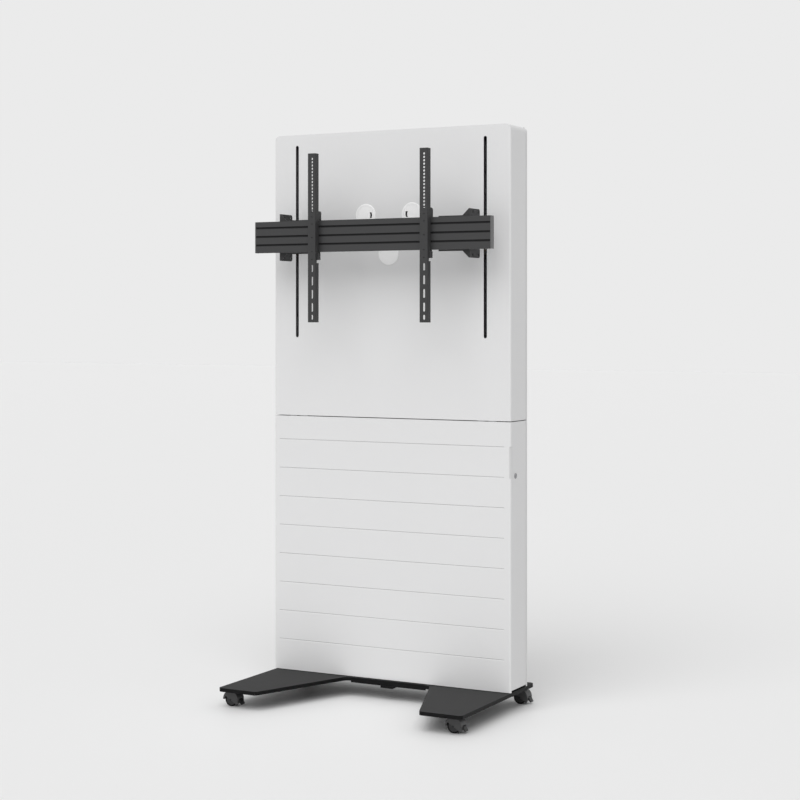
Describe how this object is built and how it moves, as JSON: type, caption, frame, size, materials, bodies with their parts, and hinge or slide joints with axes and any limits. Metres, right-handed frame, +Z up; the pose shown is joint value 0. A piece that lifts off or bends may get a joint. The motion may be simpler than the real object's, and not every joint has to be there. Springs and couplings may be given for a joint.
{
  "type": "motorized mobile tv stand",
  "caption": "Tall white sheet-steel cabinet on a black castered base, with a motorized lift that carries a slotted black bar and perforated screen strips.",
  "frame": {"origin": "centre of the base's plan, on the floor", "axes": "+Z up, -Y out of the front, +X to the right seen from the front"},
  "size_m": [1.025, 0.634, 2.178],
  "materials": {
    "black_steel": "fine textured black powder coat",
    "black_aluminium": "black anodised, satin",
    "black_plastic": "matte moulded",
    "wheel_rubber": "matte",
    "zinc_steel": "zinc plated",
    "white_steel": "smooth white powder coat",
    "chrome": "polished",
    "white_plastic": "satin moulded",
    "nylon": "natural",
    "brass": "machined"
  },
  "bodies": {
    "base": {"base_frame": "black_steel", "caster_seats": "black_steel", "caster_plates": "zinc_steel", "caster_screws": "zinc_steel", "cable_outlet": "black_steel", "left_upright": "zinc_steel", "right_upright": "zinc_steel", "upright_feet": "zinc_steel", "cross_bars": "zinc_steel", "frame_bolts": "zinc_steel", "back_panel": "white_steel", "upper_cover": "white_steel", "cover_screws": "zinc_steel", "hinge_frame_leaves": "zinc_steel", "hinge_pins": "zinc_steel", "lock_catch": "zinc_steel", "grommet_rings": "white_plastic", "left_motor": "black_plastic", "right_motor": "black_plastic", "spindle_bearings": "black_plastic", "control_box": "black_plastic", "mains_inlet": "black_plastic"},
    "lift": {"spindle_nuts": "brass", "carriages": "zinc_steel", "glide_collars": "nylon", "arms": "black_steel", "brackets": "black_steel", "bracket_bolts": "zinc_steel", "bar_profile": "black_aluminium", "bar_end_caps": "black_plastic"},
    "left_spindle": {"left_spindle": "zinc_steel"},
    "right_spindle": {"right_spindle": "zinc_steel"},
    "door": {"lower_cover": "white_steel", "hinge_door_leaves": "zinc_steel", "lock_housing": "chrome"},
    "lock": {"lock_cylinder": "chrome"},
    "cap_left": {"grommet_cap_left": "white_plastic"},
    "cap_right": {"grommet_cap_right": "white_plastic"},
    "cap_low": {"grommet_cap_low": "white_plastic"},
    "strip_left": {"left_strip": "black_steel"},
    "strip_right": {"right_strip": "black_steel"},
    "latch_left": {"left_latch": "black_steel"},
    "latch_right": {"right_latch": "black_steel"},
    "fork_fl": {"caster_fl_hood": "black_plastic", "caster_fl_pins": "zinc_steel"},
    "wheels_fl": {"caster_fl_wheels": "wheel_rubber"},
    "pedal_fl": {"caster_fl_pedal": "black_plastic"},
    "fork_fr": {"caster_fr_hood": "black_plastic", "caster_fr_pins": "zinc_steel"},
    "wheels_fr": {"caster_fr_wheels": "wheel_rubber"},
    "pedal_fr": {"caster_fr_pedal": "black_plastic"},
    "fork_rl": {"caster_rl_hood": "black_plastic", "caster_rl_pins": "zinc_steel"},
    "wheels_rl": {"caster_rl_wheels": "wheel_rubber"},
    "pedal_rl": {"caster_rl_pedal": "black_plastic"},
    "fork_rr": {"caster_rr_hood": "black_plastic", "caster_rr_pins": "zinc_steel"},
    "wheels_rr": {"caster_rr_wheels": "wheel_rubber"},
    "pedal_rr": {"caster_rr_pedal": "black_plastic"}
  },
  "joints": [
    {"name": "lift_slide", "type": "slide", "parent": "base", "child": "lift", "axis": [0, 0, 1], "range_m": [-0.335, 0.315]},
    {"name": "left_spindle_turn", "type": "hinge", "parent": "base", "child": "left_spindle", "pos_m": [-0.4065, 0.132, 1], "axis": [0, 0, 1], "continuous": true},
    {"name": "right_spindle_turn", "type": "hinge", "parent": "base", "child": "right_spindle", "pos_m": [0.4065, 0.132, 1], "axis": [0, 0, 1], "continuous": true},
    {"name": "door_hinge", "type": "hinge", "parent": "base", "child": "door", "pos_m": [-0.502, 0.224, 0.578], "axis": [0, 0, -1], "range_deg": [0, 90]},
    {"name": "lock_turn", "type": "hinge", "parent": "door", "child": "lock", "pos_m": [0.5, 0.134, 0.876], "axis": [-1, 0, 0], "range_deg": [0, 90]},
    {"name": "cap_left_turn", "type": "hinge", "parent": "base", "child": "cap_left", "pos_m": [-0.1, 0.092, 1.855], "axis": [0, -1, 0], "continuous": true},
    {"name": "cap_right_turn", "type": "hinge", "parent": "base", "child": "cap_right", "pos_m": [0.1, 0.092, 1.855], "axis": [0, -1, 0], "continuous": true},
    {"name": "cap_low_turn", "type": "hinge", "parent": "base", "child": "cap_low", "pos_m": [0, 0.092, 1.707], "axis": [0, -1, 0], "continuous": true},
    {"name": "strip_left_slide", "type": "slide", "parent": "lift", "child": "strip_left", "axis": [1, 0, 0], "range_m": [-0.22, 0.13]},
    {"name": "strip_right_slide", "type": "slide", "parent": "lift", "child": "strip_right", "axis": [1, 0, 0], "range_m": [-0.13, 0.22]},
    {"name": "latch_left_slide", "type": "slide", "parent": "strip_left", "child": "latch_left", "axis": [0, 0, -1], "range_m": [0, 0.008], "stiffness_N_per_m": 600, "springref_m": -0.004},
    {"name": "latch_right_slide", "type": "slide", "parent": "strip_right", "child": "latch_right", "axis": [0, 0, -1], "range_m": [0, 0.008], "stiffness_N_per_m": 600, "springref_m": -0.004},
    {"name": "swivel_fl", "type": "hinge", "parent": "base", "child": "fork_fl", "pos_m": [-0.466, -0.252, 0.055], "axis": [0, 0, 1], "continuous": true},
    {"name": "roll_fl", "type": "hinge", "parent": "fork_fl", "child": "wheels_fl", "pos_m": [-0.48, -0.252, 0.025], "axis": [0, 1, 0], "continuous": true},
    {"name": "brake_fl", "type": "hinge", "parent": "fork_fl", "child": "pedal_fl", "pos_m": [-0.45, -0.252, 0.025], "axis": [0, 1, 0], "range_deg": [0, 12]},
    {"name": "swivel_fr", "type": "hinge", "parent": "base", "child": "fork_fr", "pos_m": [0.466, -0.252, 0.055], "axis": [0, 0, 1], "continuous": true},
    {"name": "roll_fr", "type": "hinge", "parent": "fork_fr", "child": "wheels_fr", "pos_m": [0.452, -0.252, 0.025], "axis": [0, 1, 0], "continuous": true},
    {"name": "brake_fr", "type": "hinge", "parent": "fork_fr", "child": "pedal_fr", "pos_m": [0.482, -0.252, 0.025], "axis": [0, 1, 0], "range_deg": [0, 12]},
    {"name": "swivel_rl", "type": "hinge", "parent": "base", "child": "fork_rl", "pos_m": [-0.48, 0.289, 0.055], "axis": [0, 0, 1], "continuous": true},
    {"name": "roll_rl", "type": "hinge", "parent": "fork_rl", "child": "wheels_rl", "pos_m": [-0.466, 0.289, 0.025], "axis": [0, -1, 0], "continuous": true},
    {"name": "brake_rl", "type": "hinge", "parent": "fork_rl", "child": "pedal_rl", "pos_m": [-0.496, 0.289, 0.025], "axis": [0, -1, 0], "range_deg": [0, 12]},
    {"name": "swivel_rr", "type": "hinge", "parent": "base", "child": "fork_rr", "pos_m": [0.48, 0.289, 0.055], "axis": [0, 0, 1], "continuous": true},
    {"name": "roll_rr", "type": "hinge", "parent": "fork_rr", "child": "wheels_rr", "pos_m": [0.466, 0.289, 0.025], "axis": [0, 1, 0], "continuous": true},
    {"name": "brake_rr", "type": "hinge", "parent": "fork_rr", "child": "pedal_rr", "pos_m": [0.496, 0.289, 0.025], "axis": [0, 1, 0], "range_deg": [0, 12]}
  ],
  "couplings": [
    {"joint": "left_spindle_turn", "follows": "lift_slide", "rad_per_m": 628.32},
    {"joint": "right_spindle_turn", "follows": "lift_slide", "rad_per_m": 628.32}
  ]
}
